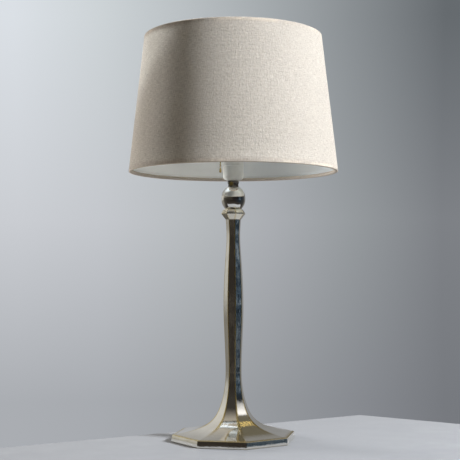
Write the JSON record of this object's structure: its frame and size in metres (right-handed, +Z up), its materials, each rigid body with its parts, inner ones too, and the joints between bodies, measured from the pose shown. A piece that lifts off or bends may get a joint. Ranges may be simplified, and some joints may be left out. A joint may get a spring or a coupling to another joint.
{
  "type": "candlestick table lamp",
  "caption": "Silver-plated octagonal candlestick table lamp with a flared foot, pull-chain lampholder and tapered linen drum shade.",
  "frame": {"origin": "on the table at the lamp's axis, under the centre of the foot", "axes": "+Z up along the stick; -Y faces out of the front flat of the foot, +Y towards the cord inlet"},
  "size_m": [0.35, 0.35, 0.6729],
  "materials": {
    "silver_plate": "polished, lightly worn on the arrises",
    "ivory_plastic": "moulded, semi-gloss",
    "brass": "polished",
    "steel": "zinc plated",
    "filler": "poured pitch and plaster",
    "felt": "wool felt",
    "ceramic": "unglazed ceramic",
    "black_plastic": "moulded",
    "bulb_glass": "clear",
    "nickel": "bright",
    "glazing": "black glass",
    "linen": "plain weave linen",
    "lining": "white laminated lining",
    "hem_tape": "folded linen tape",
    "white_wire": "white powder coat"
  },
  "bodies": {
    "stand": {"foot": "silver_plate", "stem": "silver_plate", "collar": "silver_plate", "ball_knop": "silver_plate", "neck": "silver_plate", "ballast": "filler", "bottom_plate": "steel", "felt_pad": "felt", "tie_rod": "brass", "rod_washer": "steel", "rod_nut": "brass", "cord_bush": "black_plastic", "holder_cap": "ivory_plastic", "cap_lock_screw": "brass", "holder_body": "ivory_plastic", "holder_block": "ceramic", "terminal_screws": "brass", "screw_shell": "brass", "centre_contact": "brass", "shade_clamp_ring": "ivory_plastic", "chain_nozzle": "brass", "lever_pin": "brass", "switch_spring": "steel"},
    "pull": {"pull_chain": "brass", "chain_drop": "brass"},
    "switch": {"switch_lever": "brass"},
    "bulb_tip": {"bulb_contact": "nickel"},
    "bulb": {"bulb_insulator": "glazing", "bulb_cap": "nickel", "bulb_glass": "bulb_glass", "bulb_mount": "bulb_glass", "bulb_filament": "steel"},
    "shade": {"shade_cover": "linen", "shade_lining": "lining", "bottom_wire": "white_wire", "top_wire": "white_wire", "bottom_hem": "hem_tape", "top_hem": "hem_tape", "fitter_ring": "white_wire", "fitter_struts": "white_wire"}
  },
  "joints": [
    {"name": "chain_pull", "type": "slide", "parent": "stand", "child": "pull", "axis": [0, 0, -1], "range_m": [0, 0.008], "stiffness_N_per_m": 200, "springref_m": -0.005},
    {"name": "switch_turn", "type": "hinge", "parent": "stand", "child": "switch", "pos_m": [-0.0085, 0, 0.465], "axis": [0, -1, 0], "range_deg": [0, 36]},
    {"name": "bulb_rise", "type": "slide", "parent": "stand", "child": "bulb_tip", "axis": [0, 0, 1], "range_m": [0, 0.0128]},
    {"name": "bulb_unscrew", "type": "hinge", "parent": "bulb_tip", "child": "bulb", "pos_m": [0, 0, 0.49], "axis": [0, 0, 1], "range_deg": [0, 1260]},
    {"name": "shade_turn", "type": "hinge", "parent": "stand", "child": "shade", "pos_m": [0, 0, 0.483], "axis": [0, 0, 1], "continuous": true}
  ],
  "couplings": [
    {"joint": "switch_turn", "follows": "chain_pull", "rad_per_m": 76.3},
    {"joint": "bulb_rise", "follows": "bulb_unscrew", "m_per_rad": 0.00057757}
  ]
}
